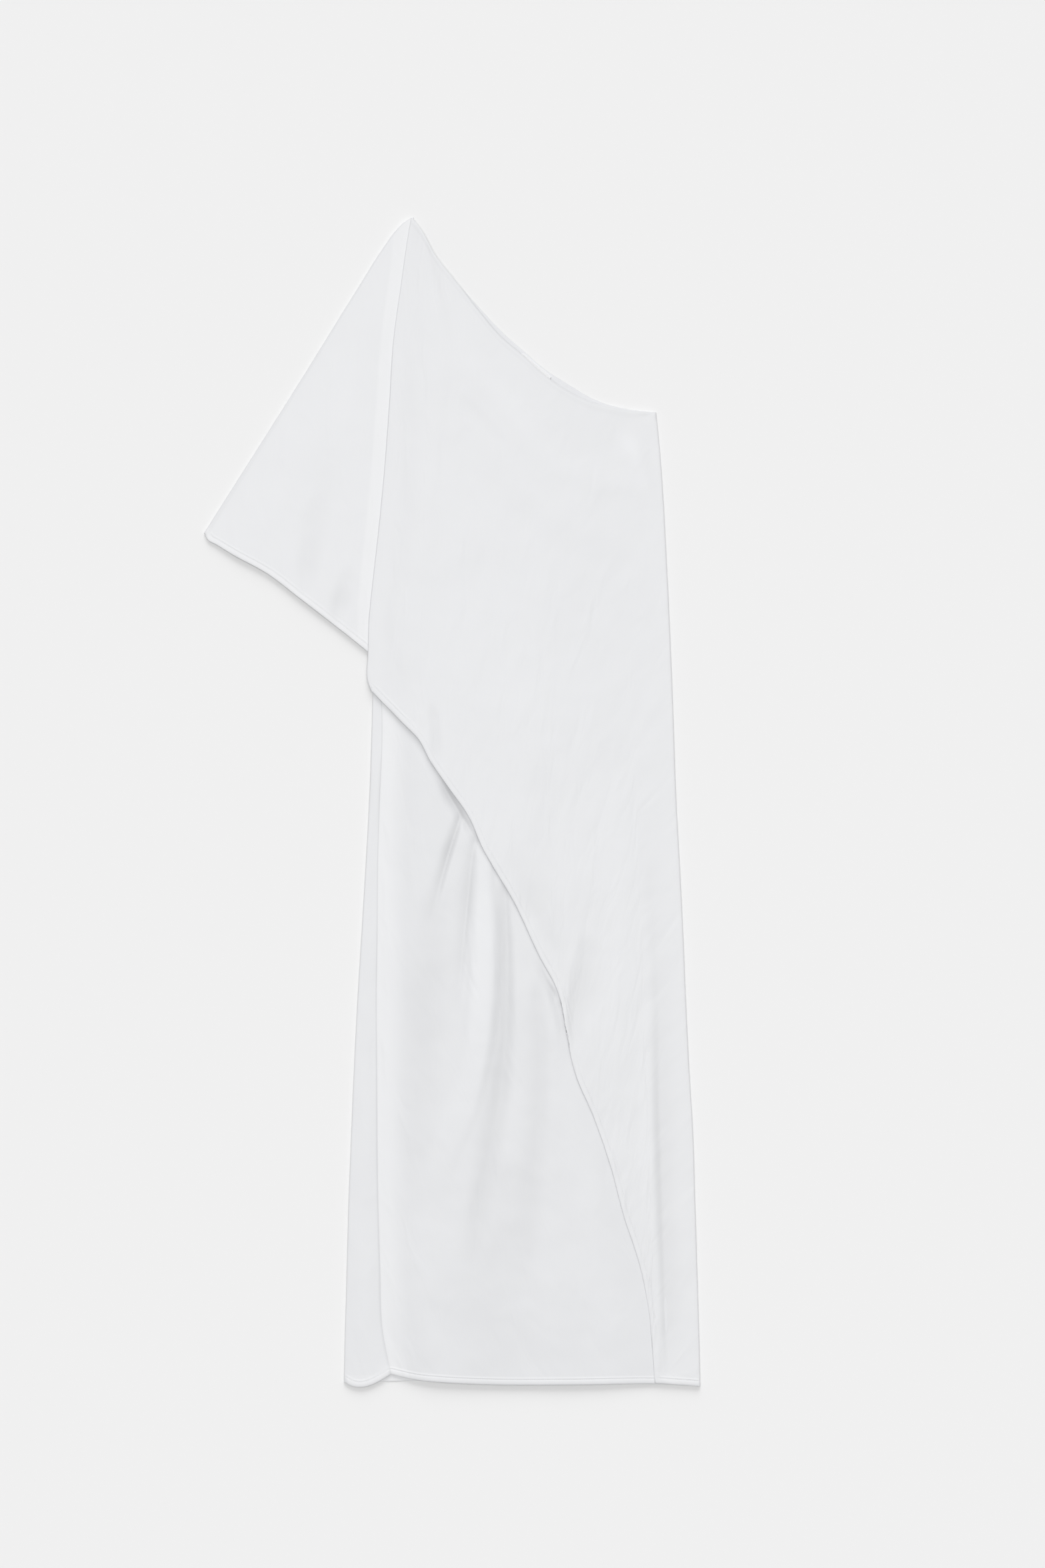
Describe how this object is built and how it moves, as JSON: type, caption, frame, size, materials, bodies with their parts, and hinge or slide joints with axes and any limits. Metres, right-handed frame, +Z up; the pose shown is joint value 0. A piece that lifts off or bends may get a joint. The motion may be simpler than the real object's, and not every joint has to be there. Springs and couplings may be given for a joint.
{
  "type": "asymmetric one-shoulder long dress laid flat",
  "caption": "Long one-shoulder dress in pale satin with a wide batwing sleeve and a front drape that ends in a diagonal hem, laid flat.",
  "frame": {"origin": "middle of the laid dress's box, on the surface that it lies on", "axes": "+Y from the hem towards the shoulder, +Z up out of the front, -X towards the sleeve"},
  "size_m": [0.618, 1.4544, 0.0099],
  "materials": {
    "satin": "pale satin with a soft sheen",
    "label": "plain woven label, bare"
  },
  "bodies": {
    "root": {"back": "satin", "front": "satin", "drape": "satin", "sleeve": "satin", "neck_label": "label"}
  },
  "joints": []
}
